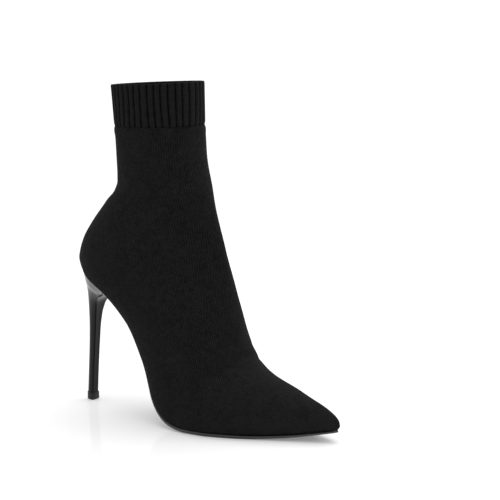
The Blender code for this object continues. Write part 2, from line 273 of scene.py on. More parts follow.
def grid_faces(shape, corners, knit_place=None):
    """Faces between rows of corners. On a knit, knit_place gives a corner's place on the yarns' own map."""
    if knit_place:
        knit_map = shape.loops.layers.uv.new("knit")
    for i in range(len(corners) - 1):
        for j in range(len(corners[0]) - 1):
            around = ((i, j), (i + 1, j), (i + 1, j + 1), (i, j + 1))
            face = shape.faces.new([corners[r][c] for r, c in around])
            face.smooth = True
            if knit_place:
                for loop, (r, c) in zip(face.loops, around):
                    loop[knit_map].uv = knit_place(r, c)


def select_only(piece):
    """Makes one piece the only one selected, and the active one."""
    bpy.ops.object.select_all(action="DESELECT")
    piece.select_set(True)
    bpy.context.view_layer.objects.active = piece


def apply_modifier(piece, kind, **settings):
    """Adds a modifier with its settings and applies it."""
    select_only(piece)
    added = piece.modifiers.new(kind.lower(), kind)
    for setting, value in settings.items():
        setattr(added, setting, value)
    bpy.ops.object.modifier_apply(modifier=added.name)


def smooth_shaded(piece, angle=SHARP_EDGE):
    """Smooth shading, with an edge kept where faces turn by more than the angle."""
    select_only(piece)
    bpy.ops.object.shade_smooth_by_angle(angle=angle)


def linear(hex_colour):
    """The linear colour of an sRGB hex value."""
    parts = [int(hex_colour[k:k + 2], 16) / 255.0 for k in (1, 3, 5)]
    light = [part / 12.92 if part <= 0.04045 else ((part + 0.055) / 1.055) ** 2.4 for part in parts]
    return (*light, 1.0)


def add_node(tree, kind, inputs=(), **settings):
    """Adds a node with its settings, and gives its sockets their values or the outputs that feed them."""
    made = tree.nodes.new(kind)
    for setting, value in settings.items():
        setattr(made, setting, value)
    for socket, value in dict(inputs).items():
        if isinstance(value, bpy.types.NodeSocket):
            tree.links.new(value, made.inputs[socket])
        else:
            made.inputs[socket].default_value = value
    return made


def new_finish(name, **values):
    """A material with a Principled shader, given by its socket names with _ for spaces."""
    finish = bpy.data.materials.new(name)
    finish.use_nodes = True
    tree = finish.node_tree
    shader = tree.nodes["Principled BSDF"]
    for socket, value in values.items():
        shader.inputs[socket.replace("_", " ")].default_value = value
    return finish, tree, shader


def math_of(tree, operation, *values):
    """The output of one Math node."""
    return add_node(tree, "ShaderNodeMath", dict(enumerate(values)), operation=operation).outputs[0]


def matte_black_knit():
    """Matte viscose and elastane stretch knit: a dark ground, fine wales and V stitches, and a soft nap."""
    finish, tree, shader = new_finish(
        "matte_black_knit",
        Roughness=0.92,
        Specular_IOR_Level=0.10,
        Sheen_Weight=0.012,
        Sheen_Roughness=0.35,
        Sheen_Tint=linear("#EBEBEB"),
    )
    place = add_node(tree, "ShaderNodeTexCoord")
    yarn = add_node(tree, "ShaderNodeUVMap", uv_map="knit")
    split = add_node(tree, "ShaderNodeSeparateXYZ", {0: yarn.outputs["UV"]})

    # A wale is a rounded rib with a narrow furrow to each side.
    wale = math_of(tree, "MULTIPLY", split.outputs["X"], 1.0 / WALE_SPACING)
    wale_side = math_of(tree, "PINGPONG", wale, 0.5)
    wale_round = math_of(tree, "SINE", math_of(tree, "MULTIPLY", wale_side, math.pi))
    furrow = math_of(tree, "POWER", wale_round, FURROW_POWER)

    # The two legs of each stitch slant towards the wale's middle, so a course steps down to the furrow.
    course = math_of(tree, "MULTIPLY", split.outputs["Y"], math.tau / COURSE_SPACING)
    stitch = math_of(tree, "SINE", math_of(tree, "MULTIPLY_ADD", wale_side, STITCH_SLANT, course))

    # Loose yarn ends blur the stitches, and the knit is drawn a little lighter or darker in patches.
    fuzz = add_node(tree, "ShaderNodeTexNoise", {
        "Vector": place.outputs["Object"], "Scale": 1.0 / FUZZ_SIZE, "Detail": 2.0, "Roughness": 0.65})
    patches = add_node(tree, "ShaderNodeTexNoise", {
        "Vector": place.outputs["Object"], "Scale": 1.0 / PATCH_SIZE, "Detail": 6.0, "Roughness": 0.72})
    clouds = add_node(tree, "ShaderNodeTexNoise", {
        "Vector": place.outputs["Object"], "Scale": 1.0 / CLOUD_SIZE, "Detail": 3.0, "Roughness": 0.55})

    height = math_of(tree, "MULTIPLY_ADD", stitch, STITCH_RELIEF, furrow)
    height = math_of(tree, "MULTIPLY_ADD", fuzz.outputs["Fac"], FUZZ_RELIEF, height)
    bump = add_node(tree, "ShaderNodeBump", {"Height": height, "Strength": 0.8, "Distance": KNIT_RELIEF})
    tree.links.new(bump.outputs["Normal"], shader.inputs["Normal"])

    # The wales and the clouds show most over the forefoot: the furrows' painted shade is deeper there, and
    # the clouds' larger share lightens the forefoot as painted light from above.
    furrow_shade_share, cloud_and_forefoot_light_share = (
        add_node(tree, "ShaderNodeMapRange", {
            "Value": split.outputs["Y"],
            "From Min": FOREFOOT_FROM, "From Max": FOREFOOT_FROM + FOREFOOT_CHANGE,
            "To Min": shaft, "To Max": forefoot}).outputs["Result"]
        for shaft, forefoot in (FURROW_SHADE_TONES, CLOUD_TONES_AND_FOREFOOT_LIGHT))
    # The furrows between wales are painted darker than their crests: painted shade.
    tone = math_of(tree, "MULTIPLY", math_of(tree, "SUBTRACT", furrow, FURROW_MEAN), furrow_shade_share)
    tone = math_of(tree, "MULTIPLY_ADD", fuzz.outputs["Fac"], FUZZ_TONE, tone)
    tone = math_of(tree, "MULTIPLY_ADD", patches.outputs["Fac"], PATCH_TONE, tone)
    # Painted light: the clouds' larger share over the forefoot makes the forefoot lighter.
    tone = math_of(tree, "MULTIPLY_ADD", clouds.outputs["Fac"], cloud_and_forefoot_light_share, tone)
    shade = add_node(tree, "ShaderNodeMapRange", {
        "Value": tone, "From Min": DARKEST_TONE, "From Max": LIGHTEST_TONE})
    colours = add_node(tree, "ShaderNodeMix", {
        "Factor": shade.outputs["Result"], COLOUR_A: linear("#080808"), COLOUR_B: linear("#1D1D1D")},
        data_type="RGBA")
    tree.links.new(colours.outputs[MIXED_COLOUR], shader.inputs["Base Color"])
    return finish


# The tricot lining's ribs. At a scale of 1, the waves of a Wave texture are pi / 10 long.
TRICOT_RIB = 1.086 * MM
TRICOT_RELIEF = 0.1 * MM


def black_tricot_lining():
    """Brushed polyester tricot: flat fine ribs and a faint sheen, on the inside of the knit."""
    finish, tree, shader = new_finish(
        "black_tricot_lining",
        Roughness=0.8,
        Specular_IOR_Level=0.15,
        Sheen_Weight=0.05,
        Sheen_Roughness=0.5,
    )
    yarn = add_node(tree, "ShaderNodeUVMap", uv_map="knit")
    ribs = add_node(tree, "ShaderNodeTexWave", {
        "Vector": yarn.outputs["UV"], "Scale": math.pi / 10.0 / TRICOT_RIB, "Distortion": 0.4},
        bands_direction="X")
    bump = add_node(tree, "ShaderNodeBump", {
        "Height": ribs.outputs["Fac"], "Strength": 0.5, "Distance": TRICOT_RELIEF})
    tree.links.new(bump.outputs["Normal"], shader.inputs["Normal"])
    # The colour follows the ribs' height: their troughs are darker, as painted shade.
    colours = add_node(tree, "ShaderNodeMix", {
        "Factor": ribs.outputs["Fac"], COLOUR_A: linear("#0C0C0C"), COLOUR_B: linear("#161616")},
        data_type="RGBA")
    tree.links.new(colours.outputs[MIXED_COLOUR], shader.inputs["Base Color"])
    return finish


def closed_up(grid, was):
    """Makes the points that were one point before the creases one point again."""
    rings = np.linalg.norm(was[:, 0] - was[:, -1], axis=1) < WELD
    back = (grid[:, 0] + grid[:, -1]) / 2.0
    grid[rings, 0] = back[rings]
    grid[rings, -1] = back[rings]
    grid[-1] = (grid[-1] + grid[-1][::-1]) / 2.0
    return grid


def outward(grid):
    """The way outwards at each point of a grid whose rows run down and whose columns turn to the left."""
    normals = np.cross(np.gradient(grid, axis=0), np.gradient(grid, axis=1))
    return normals / np.maximum(np.linalg.norm(normals, axis=2, keepdims=True), WELD ** 2)


def crease_heights(across, down, front_heights):
    """How far the creases and the cloth's slight unevenness move each point outwards."""
    down_front = down[:, 0]
    moved = np.zeros_like(across)
    for name, front_z, middle, reach, width, rise, depth in CREASES:
        starts = np.interp(-front_z * MM, -front_heights, down_front)
        aside = (across - middle * MM) / (reach * MM)
        below = (down - starts + rise * MM * aside ** 2) / (width * MM)
        valley = np.exp(VALLEY_ROUND - np.sqrt(below ** 2 + VALLEY_ROUND ** 2))
        moved -= depth * MM * valley * np.exp(-aside ** 2)
    for across_length, down_length, start in EASE_WAVES:
        turn = np.abs(across) / across_length + down / down_length
        moved += EASE_HEIGHT * np.sin(math.tau * turn + start)
    return moved


def nose_fullness(grid):
    """How far the nose is filled forwards under its tip."""
    along = np.clip((grid[:, :, 0] - grid[-1, :, 0].max() + NOSE_FILL_LENGTH) / NOSE_FILL_LENGTH, 0.0, 1.0)
    below = np.clip((NOSE_FILL_TOP - grid[:, :, 2]) / NOSE_FILL_HEIGHT, 0.0, 1.0)
    return NOSE_FILL * along ** 2 * np.sin(below * math.pi / 2.0)


def wale_drift(distance):
    """How far the wales have moved to the outer side at this distance down the front."""
    midfoot = np.clip(distance - DRIFT_FROM, 0.0, FOREFOOT_FROM - DRIFT_FROM)
    forefoot = np.maximum(distance - FOREFOOT_FROM, 0.0)
    return midfoot * DRIFT_MIDFOOT + forefoot * DRIFT_FOREFOOT


# The seat row is the last ring. The first open row lies close under it, so the two become one: the open row,
# with the ring's back point at both its ends.
cad_rows = skin_grid("upper")
open_rows = np.linalg.norm(cad_rows[:, 0] - cad_rows[:, -1], axis=1) > WELD
seat_row = int(np.argmax(open_rows)) - 1
seat_back = cad_rows[seat_row + 1].copy()
seat_back[0] = seat_back[-1] = cad_rows[seat_row, 0]
cad_rows = np.concatenate([cad_rows[:seat_row], [seat_back], cad_rows[seat_row + 2:]])
upper_rows = smooth_through(cad_rows, ROW_PARTS, after=cad_rows[-2][::-1])
upper_rows = np.array([smooth_along(row, COLUMN_PARTS) for row in upper_rows])

# Each point's distance from the front line, less than 0 on the outer side, and its row's distance down it.
front = upper_rows.shape[1] // 2
steps_across = np.linalg.norm(np.diff(upper_rows, axis=1), axis=2)
across = np.concatenate([np.zeros((len(upper_rows), 1)), np.cumsum(steps_across, axis=1)], axis=1)
across -= across[:, front:front + 1]
steps_down = np.linalg.norm(np.diff(upper_rows[:, front], axis=0), axis=1)
down = np.repeat(np.concatenate([[0.0], np.cumsum(steps_down)])[:, None], upper_rows.shape[1], axis=1)

creases = crease_heights(across, down, upper_rows[:, front, 2])
creases *= np.clip((down[-1, 0] - down) / NOSE_LENGTH - NOSE_UNCREASED, 0.0, 1.0) ** 2
creased_rows = closed_up(upper_rows + outward(upper_rows) * creases[:, :, None], upper_rows)
creased_rows[:, :, 0] += nose_fullness(creased_rows)
seat_start = seat_row * ROW_PARTS
creased_rows[seat_start:, (0, -1), 2] -= EDGE_DROP
wales = across + wale_drift(down)

knit_shape = bmesh.new()
knit_corners = [[knit_shape.verts.new(place) for place in row] for row in creased_rows]
grid_faces(knit_shape, knit_corners, lambda r, c: (wales[r][c], down[r][c]))
bmesh.ops.remove_doubles(knit_shape, verts=knit_shape.verts, dist=WELD)
upper = piece_of("sock_upper", knit_shape, matte_black_knit(), black_tricot_lining())

# The wall thins towards the toe's nose, where there is no room for its whole thickness.
nose = Vector(creased_rows[-1, front])
wall_group = upper.vertex_groups.new(name="wall")
for point in upper.data.vertices:
    share = min((point.co - nose).length / NOSE_LENGTH, 1.0)
    wall_group.add([point.index], share, "REPLACE")
apply_modifier(
    upper, "SOLIDIFY", thickness=KNIT_WALL, offset=-1.0, use_rim=True, material_offset=1,
    vertex_group="wall", thickness_vertex_group=NOSE_WALL_SHARE)
smooth_shaded(upper)
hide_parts("upper")
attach(upper, "root")

# Rib cuff: a doubled band of the same yarn in a coarse rib, folded at the top and seamed to the upper below.
# Its ribs are rounded and close, with narrow deep furrows, and they run over the fold and down inside.
# The band follows the crests of the frame's cuff, with each rib drawn finer.
CUFF_RIBS = 38
BAND_THICK = 2.5 * MM
CUFF_SHARP_EDGE = math.radians(70.0)

# The frame's cuff: points round a rib, how far its top turns in, and its start over the upper's second row.
CAD_POINTS_PER_RIB = 4
CAD_FOLD_TURN = 0.5 * MM
UPPER_ROW_TO_CUFF = 1.5 * MM

# Points of the finer band: round a rib, up each side and over the fold. While a ring of points is spaced
# evenly, FINE_STEPS points stand for each of them.
POINTS_PER_RIB = 14
STRAIGHT_POINTS = 15
FOLD_POINTS = 7
FINE_STEPS = 32

# The ribs: depth of the furrows outside and inside, the flat share of a furrow's floor, and how full a rib
# is, where 2 is round. The seam draws the band together by a little at its foot.
FURROW_DEPTH = 1.35 * MM
FURROW_INSIDE = 0.5 * MM
FURROW_FLOOR = 0.075
RIB_FULLNESS = 2.6
SEAM_PINCH = 0.45 * MM
SEAM_PINCH_HEIGHT = 1.6 * MM

# No rib is just as wide as the next: shifts in rib widths, as waves round the cuff with their size and start.
# They lean a little too: by how much, in how many waves round the cuff and from what start, and through what
# share of a half wave from the seam to the top.
RIB_UNEVEN = ((5.0, 0.09, 0.7), (11.0, 0.054, 2.1))
RIB_LEAN = 0.16
RIB_LEAN_WAVES = 3.0
RIB_LEAN_START = 1.3
RIB_LEAN_RUN = 0.8

# The rib knit's own patches, wales a rib, relief and tones. A rib's crest adds 1 to its tone.
RIB_PATCH_SIZE = 3.846 * MM
WALES_PER_RIB = 2.0
RIB_STITCH_RELIEF = 0.25
RIB_FUZZ_RELIEF = 0.8
RIB_RELIEF = 0.28 * MM
RIB_GRAIN_TONE = 1.1
RIB_DARKEST_TONE = 1.05
RIB_LIGHTEST_TONE = 2.25


def even_ring(places, count):
    """Points at even spacing on a smooth closed curve through a ring of fewer points."""
    fine = len(places) * FINE_STEPS
    smooth = np.fft.irfft(np.fft.rfft(places, axis=0), n=fine, axis=0) * FINE_STEPS
    smooth = np.concatenate([smooth, smooth[:1]])
    run = np.concatenate([[0.0], np.cumsum(np.linalg.norm(np.diff(smooth, axis=0), axis=1))])
    wanted = np.arange(count) * run[-1] / count
    return np.stack([np.interp(wanted, run, smooth[:, k]) for k in range(3)], axis=1)


def inwards_of(ring):
    """The way inwards, on the level, at each point of a closed ring."""
    tangent = np.roll(ring, -1, axis=0) - np.roll(ring, 1, axis=0)
    tangent[:, 2] = 0.0
    tangent /= np.linalg.norm(tangent, axis=1)[:, None]
    return np.stack([-tangent[:, 1], tangent[:, 0], np.zeros(len(ring))], axis=1)


def cuff_rim():
    """The crests along the top of the frame's cuff, one a rib, from the back round the outer side."""
    shape = joined_shape("rib_cuff")
    keep_outer_skin(shape)
    rim = in_order(set(top_row_of(shape, "rib_cuff")))[:-1]
    shape.free()
    return np.array([tuple(place) for place in rim[::CAD_POINTS_PER_RIB]])


def rib_height(phase):
    """How far a rib stands up at each phase round it, from nothing in the furrow to one on its crest."""
    from_crest = np.abs(phase - np.floor(phase) - 0.5)
    rise = np.clip((0.5 - from_crest) / 0.5, 0.0, 1.0)
    rise = np.clip((rise - FURROW_FLOOR) / (1.0 - FURROW_FLOOR), 0.0, 1.0)
    return np.sqrt(1.0 - (1.0 - rise) ** RIB_FULLNESS)


def band_section(height):
    """The band's closed section, from its seam up the outside, over the fold and down inside.
    Each point has its height, its depth inwards, and how much of the outer and inner furrows it takes."""
    radius = BAND_THICK / 2.0
    section = []
    for level in np.linspace(0.0, height - radius, STRAIGHT_POINTS):
        section.append((level, 0.0, 1.0, 0.0))
    for turn in np.linspace(0.0, math.pi, FOLD_POINTS + 2)[1:-1]:
        outer = (1.0 + math.cos(turn)) / 2.0
        level = height - radius + radius * math.sin(turn)
        section.append((level, radius - radius * math.cos(turn), outer, 1.0 - outer))
    for level in np.linspace(height - radius, 0.0, STRAIGHT_POINTS):
        section.append((level, BAND_THICK, 0.0, 1.0))
    return section


def black_rib_knit():
    """The same matte yarn in a coarse rib: fine stitches on each rib, a soft nap, and dark furrows."""
    finish, tree, shader = new_finish(
        "black_rib_knit",
        Roughness=0.9,
        Specular_IOR_Level=0.10,
        Sheen_Weight=0.012,
        Sheen_Roughness=0.35,
        Sheen_Tint=linear("#EBEBEB"),
    )
    place = add_node(tree, "ShaderNodeTexCoord")
    yarn = add_node(tree, "ShaderNodeUVMap", uv_map="knit")
    split = add_node(tree, "ShaderNodeSeparateXYZ", {0: yarn.outputs["UV"]})
    wale = math_of(tree, "MULTIPLY", split.outputs["X"], WALES_PER_RIB)
    wale_side = math_of(tree, "PINGPONG", wale, 0.5)
    course = math_of(tree, "MULTIPLY", split.outputs["Y"], math.tau / COURSE_SPACING)
    stitch = math_of(tree, "SINE", math_of(tree, "MULTIPLY_ADD", wale_side, STITCH_SLANT, course))
    fuzz = add_node(tree, "ShaderNodeTexNoise", {
        "Vector": place.outputs["Object"], "Scale": 1.0 / FUZZ_SIZE, "Detail": 2.0, "Roughness": 0.65})
    patches = add_node(tree, "ShaderNodeTexNoise", {
        "Vector": place.outputs["Object"], "Scale": 1.0 / RIB_PATCH_SIZE, "Detail": 4.0, "Roughness": 0.6})
    height = math_of(tree, "MULTIPLY", stitch, RIB_STITCH_RELIEF)
    height = math_of(tree, "MULTIPLY_ADD", fuzz.outputs["Fac"], RIB_FUZZ_RELIEF, height)
    bump = add_node(tree, "ShaderNodeBump", {"Height": height, "Strength": 0.9, "Distance": RIB_RELIEF})
    tree.links.new(bump.outputs["Normal"], shader.inputs["Normal"])

    # Light reaches the crests and hardly the furrows, and each point of the band keeps how high it stands.
    crest = add_node(tree, "ShaderNodeAttribute", attribute_name="crest")
    grain = math_of(tree, "ADD", patches.outputs["Fac"], fuzz.outputs["Fac"])
    tone = math_of(tree, "MULTIPLY_ADD", grain, RIB_GRAIN_TONE, crest.outputs["Fac"])
    shade = add_node(tree, "ShaderNodeMapRange", {
        "Value": tone, "From Min": RIB_DARKEST_TONE, "From Max": RIB_LIGHTEST_TONE})
    colours = add_node(tree, "ShaderNodeMix", {
        "Factor": shade.outputs["Result"], COLOUR_A: linear("#030303"), COLOUR_B: linear("#1A1A1A")},
        data_type="RGBA")
    tree.links.new(colours.outputs[MIXED_COLOUR], shader.inputs["Base Color"])
    return finish


def ribbed_band(name):
    """The folded band as a closed mesh, with each point's rib height kept for its colour."""
    count = CUFF_RIBS * POINTS_PER_RIB
    high = even_ring(cuff_rim(), count)
    high -= inwards_of(high) * CAD_FOLD_TURN
    low = even_ring(cad_rows[1][:-1], count)
    inwards = inwards_of(low)
    upwards = high - low
    between = np.linalg.norm(upwards, axis=1)
    upwards /= between[:, None]
    low += upwards * UPPER_ROW_TO_CUFF
    between -= UPPER_ROW_TO_CUFF
    height = between.mean()
    stretch = between / height

    turn = np.arange(count) / count
    uneven = sum(size * np.sin(math.tau * waves * turn + start) for waves, size, start in RIB_UNEVEN)
    leaning = RIB_LEAN * np.sin(math.tau * RIB_LEAN_WAVES * turn + RIB_LEAN_START)
    rib_phase = turn * CUFF_RIBS + 0.5
    section = band_section(height)
    shape = bmesh.new()
    crest_layer = shape.verts.layers.float.new("crest")
    corners = []
    for level, depth, outer, inner in section:
        lean = leaning * math.sin(math.pi * level / height * RIB_LEAN_RUN)
        crest_out = rib_height(rib_phase + uneven + lean)
        crest_in = rib_height(rib_phase + 0.5)
        pinch = SEAM_PINCH * math.exp(-(level / SEAM_PINCH_HEIGHT) ** 2)
        furrows = (1.0 - crest_out) * FURROW_DEPTH * outer - (1.0 - crest_in) * FURROW_INSIDE * inner
        if outer == 1.0:
            furrows = furrows + pinch
        if inner == 1.0:
            furrows = furrows - pinch
        places = low + upwards * (level * stretch)[:, None] + inwards * (depth + furrows)[:, None]
        ring = [shape.verts.new(place) for place in places]
        for corner, crest in zip(ring, crest_out * outer + crest_in * inner):
            corner[crest_layer] = crest
        corners.append(ring + ring[:1])
    corners.append(corners[0])

    levels, depths = np.array(section)[:, :2].T
    run = np.cumsum(np.hypot(np.diff(levels), np.diff(depths)))
    run = np.concatenate([[0.0], run, [run[-1] + BAND_THICK]])
    grid_faces(shape, corners, lambda r, c: (c / POINTS_PER_RIB, run[r]))
    bmesh.ops.recalc_face_normals(shape, faces=shape.faces)
    return piece_of(name, shape, black_rib_knit())


cuff = ribbed_band("ribbed_cuff")
smooth_shaded(cuff, CUFF_SHARP_EDGE)
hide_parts("rib_cuff")
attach(cuff, "root")

# Insole: the lasting board under its black sock lining, laid inside the upper's lower edge.
# The lining is thin smooth synthetic leather over foam, glued down, with its edge turned.
INSOLE_EDGE = 0.35 * MM
INSOLE_EDGE_TURN = math.radians(40.0)

# Two triangles become a quad where they turn by less than this and no corner is further from square.
QUAD_TURN = math.radians(60.0)

# The lining's pebble and how high it is, and the slight change in its tone.
PEBBLE_SIZE = 1.111 * MM
PEBBLE_RELIEF = 0.12 * MM
LINING_TONE_SIZE = 16.67 * MM


def joined_piece(name, node_name, *paints):
    """A copy of a frame node's mesh as a new piece, with its triangles joined to quads."""
    shape = joined_shape(node_name)
    bmesh.ops.join_triangles(
        shape, faces=shape.faces, angle_face_threshold=QUAD_TURN, angle_shape_threshold=QUAD_TURN)
    for face in shape.faces:
        face.smooth = True
    return piece_of(name, shape, *paints)


def black_sock_lining():
    """Smooth coated synthetic leather over thin foam: a fine pebble and a dull shine."""
    finish, tree, shader = new_finish("black_sock_lining", Roughness=0.55, Specular_IOR_Level=0.3)
    place = add_node(tree, "ShaderNodeTexCoord")
    pebble = add_node(tree, "ShaderNodeTexVoronoi", {
        "Vector": place.outputs["Object"], "Scale": 1.0 / PEBBLE_SIZE}, feature="SMOOTH_F1")
    tone = add_node(tree, "ShaderNodeTexNoise", {
        "Vector": place.outputs["Object"], "Scale": 1.0 / LINING_TONE_SIZE, "Detail": 3.0})
    bump = add_node(tree, "ShaderNodeBump", {
        "Height": pebble.outputs["Distance"], "Strength": 0.4, "Distance": PEBBLE_RELIEF})
    tree.links.new(bump.outputs["Normal"], shader.inputs["Normal"])
    colours = add_node(tree, "ShaderNodeMix", {
        "Factor": tone.outputs["Fac"], COLOUR_A: linear("#101011"), COLOUR_B: linear("#1C1B1B")},
        data_type="RGBA")
    tree.links.new(colours.outputs[MIXED_COLOUR], shader.inputs["Base Color"])
    return finish


insole = joined_piece("insole_board", "insole", black_sock_lining())
apply_modifier(
    insole, "BEVEL", width=INSOLE_EDGE, segments=2, limit_method="ANGLE", angle_limit=INSOLE_EDGE_TURN)
smooth_shaded(insole)
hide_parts("insole")
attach(insole, "root")

# Outsole: a thin black moulded sole, glued on under the whole foot from the heel's breast to the toe.
# Its edge is trimmed and polished with black edge ink, and its underside has a fine matte grain.
SOLE_PARTS = 3
SOLE_CORNER = 0.25 * MM
SOLE_CORNER_TURN = math.radians(35.0)

# The frame's sole ends under the heel within this depth of its highest point, in a section of six points.
SOLE_END_DROP = 2.0 * MM
TOE_POINTS = 3

# The underside's grain, and how far a face looks down, as its normal's Z, where the grain starts and is full.
SOLE_GRAIN_SIZE = 0.7143 * MM
SOLE_GRAIN_RELIEF = 0.15 * MM
GRAIN_STARTS = -0.6
GRAIN_FULL = -0.95
EDGE_ROUGHNESS = 0.12
UNDERSIDE_ROUGHNESS = 0.6


def black_sole_rubber():
    """Moulded thermoplastic rubber: a polished edge and a finely grained underside."""
    finish, tree, shader = new_finish(
        "black_sole_rubber", Base_Color=linear("#0B0B0B"), Specular_IOR_Level=0.7)
    place = add_node(tree, "ShaderNodeTexCoord")
    grain = add_node(tree, "ShaderNodeTexNoise", {
        "Vector": place.outputs["Object"], "Scale": 1.0 / SOLE_GRAIN_SIZE, "Detail": 3.0, "Roughness": 0.6})
    surface = add_node(tree, "ShaderNodeNewGeometry")
    facing = add_node(tree, "ShaderNodeSeparateXYZ", {0: surface.outputs["Normal"]})
    under = add_node(tree, "ShaderNodeMapRange", {
        "Value": facing.outputs["Z"], "From Min": GRAIN_FULL, "From Max": GRAIN_STARTS,
        "To Min": 1.0, "To Max": 0.0})
    rough = add_node(tree, "ShaderNodeMapRange", {
        "Value": under.outputs["Result"], "To Min": EDGE_ROUGHNESS, "To Max": UNDERSIDE_ROUGHNESS})
    tree.links.new(rough.outputs["Result"], shader.inputs["Roughness"])
    relief = math_of(tree, "MULTIPLY", grain.outputs["Fac"], under.outputs["Result"])
    bump = add_node(tree, "ShaderNodeBump", {
        "Height": relief, "Strength": 0.6, "Distance": SOLE_GRAIN_RELIEF})
    tree.links.new(bump.outputs["Normal"], shader.inputs["Normal"])
    return finish


def sole_sections():
    """The frame's outsole as sections of six points, from the heel end to the toe.
    Each goes round from its upper outer corner over the inner side to its outer side.
    The toe's own section is a line, so its points stand for both sides."""
    shape = joined_shape("outsole")
    heel_end = max(point.co.z for point in shape.verts)
    first = [point for point in shape.verts if point.co.z > heel_end - SOLE_END_DROP]
    sections = []
    for row in rows_from(first):
        places = sorted((point.co for point in row), key=lambda place: -place.z)
        middle_y = sum(place.y for place in places) / len(places)
        outer = [place for place in places if place.y < middle_y]
        inner = [place for place in places if place.y > middle_y]
        if len(places) == TOE_POINTS:
            outer = inner = places
        sections.append([tuple(place) for place in (outer[0], *inner, outer[2], outer[1])])
    shape.free()
    return np.array(sections)


sole_shape = bmesh.new()
sole_corners = []
for row in smooth_through(sole_sections(), SOLE_PARTS):
    ring = [sole_shape.verts.new(place) for place in row]
    sole_corners.append(ring + ring[:1])
grid_faces(sole_shape, sole_corners)
sole_shape.faces.new(sole_corners[0][:-1])
bmesh.ops.remove_doubles(sole_shape, verts=sole_shape.verts, dist=WELD)
bmesh.ops.recalc_face_normals(sole_shape, faces=sole_shape.faces)
outsole = piece_of("moulded_outsole", sole_shape, black_sole_rubber())
apply_modifier(
    outsole, "BEVEL", width=SOLE_CORNER, segments=2, limit_method="ANGLE", angle_limit=SOLE_CORNER_TURN)
smooth_shaded(outsole)
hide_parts("outsole")
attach(outsole, "root")

# Heel: one injection moulding of black ABS, lacquered to a high gloss, screwed up into the seat from inside.
# It is round at the back and almost flat at the breast, with a soft line down each corner between them.
# It flares at the top to cup the upper's seat, and its top outline is the upper's own edge.

# Rings made from each one of the frame's, a ring's points round its side and across its breast, and the
# parts that each step of a run is cut into while its points are spaced.
RING_PARTS = 6
SIDE_POINTS = 61
BREAST_POINTS = 15
FINE_PARTS = 8

# How much closer together the points lie at the ends of a run, near the corners, than in its middle.
ENDS_CLOSER = 0.75

# How far from a corner of the breast its rounding starts.
BREAST_CORNER = 0.95 * MM

# The frame's rings: how many points their breast has between its corners, how much of its hollow is kept
# under the lacquer, and how much fuller the lacquered rings are.
CAD_BREAST_POINTS = 5
HOLLOW_KEPT = 0.15
LACQUER_FULLER = 0.05

# The foot's points lie within the first of the heel's lowest one, and the seat's edge ends within the last
# of its front. The angle keeps a point just past the back on its own side.
FOOT_BAND = 0.2 * MM
ANGLE_SLACK = 0.001
SEAT_SLACK = 0.3 * MM

# The lacquer's waves, and the slight change in its tone.
SPRAY_SIZE = 4.167 * MM
SPRAY_RELIEF = 0.1 * MM
LACQUER_TONE_SIZE = 25.0 * MM


def along_curve(points, count):
    """Points on a smooth curve through a run of points, closer together towards its ends."""
    smooth = smooth_along(np.array(points), FINE_PARTS)
    run = np.concatenate([[0.0], np.cumsum(np.linalg.norm(np.diff(smooth, axis=0), axis=1))])
    even = np.linspace(0.0, 1.0, count)
    wanted = run[-1] * (even + ENDS_CLOSER * ((1.0 - np.cos(math.pi * even)) / 2.0 - even))
    return np.stack([np.interp(wanted, run, smooth[:, k]) for k in range(3)], axis=1)


def rounded_corner(ring, corner):
    """A closed ring with the points near one of its points moved onto a curve round it."""
    middle = len(ring) // 2
    turned = np.roll(ring, middle - corner, axis=0)
    run = np.concatenate([[0.0], np.cumsum(np.linalg.norm(np.diff(turned, axis=0), axis=1))])
    run -= run[middle]
    before = np.array([np.interp(-BREAST_CORNER, run, turned[:, k]) for k in range(3)])
    after = np.array([np.interp(BREAST_CORNER, run, turned[:, k]) for k in range(3)])
    share = ((run + BREAST_CORNER) / (2.0 * BREAST_CORNER))[:, None]
    curve = before * (1.0 - share) ** 2 + turned[middle] * 2.0 * share * (1.0 - share) + after * share ** 2
    rounded = np.where(np.abs(run)[:, None] < BREAST_CORNER, curve, turned)
    return np.roll(rounded, corner - middle, axis=0)


def ring_of(side, breast):
    """A ring from its inner corner round the back to its outer corner, and across the breast.
    Both corners are round."""
    straight = np.linspace(breast[0], breast[-1], BREAST_POINTS)
    breast = straight + (breast - straight) * HOLLOW_KEPT
    ring = np.concatenate([side, breast[1:-1]])
    return rounded_corner(rounded_corner(ring, 0), SIDE_POINTS - 1)


def heel_rings():
    """The frame's heel as rings of points, from its foot up.
    Its last two rows, the lip and the top outline, are left out, so that the flare runs straight up to the
    seat. The top ring is the upper's own edge there."""
    shape = joined_shape("heel")
    low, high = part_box("heel")
    foot = [point for point in shape.verts if point.co.z < low.z + FOOT_BAND]
    rings = []
    for row in rows_from(foot)[:-2]:
        middle = sum((point.co for point in row), Vector()) / len(row)
        ring = sorted((tuple(point.co) for point in row), key=lambda place: (
            math.atan2(place[1] - middle.y, place[0] - middle.x) + math.pi + ANGLE_SLACK) % math.tau)
        outer_corner = (len(ring) - CAD_BREAST_POINTS + 1) // 2 - 1
        inner_corner = outer_corner + CAD_BREAST_POINTS + 1
        side = along_curve(ring[inner_corner:] + ring[:outer_corner + 1], SIDE_POINTS)
        breast = along_curve(ring[outer_corner:inner_corner + 1], BREAST_POINTS)
        ring = ring_of(side, breast)
        ring[:, :2] += (ring[:, :2] - ring[:, :2].mean(axis=0)) * LACQUER_FULLER
        rings.append(ring)
    shape.free()
    edges = creased_rows[seat_start:, (0, -1)]
    edges = edges[edges[:, 0, 0] < high.x + SEAT_SLACK]
    side = along_curve(np.concatenate([edges[::-1, 1], edges[1:, 0]]), SIDE_POINTS)
    breast = along_curve(np.array([side[-1], side[0]]), BREAST_POINTS)
    rings.append(ring_of(side, breast))
    return np.array(rings)


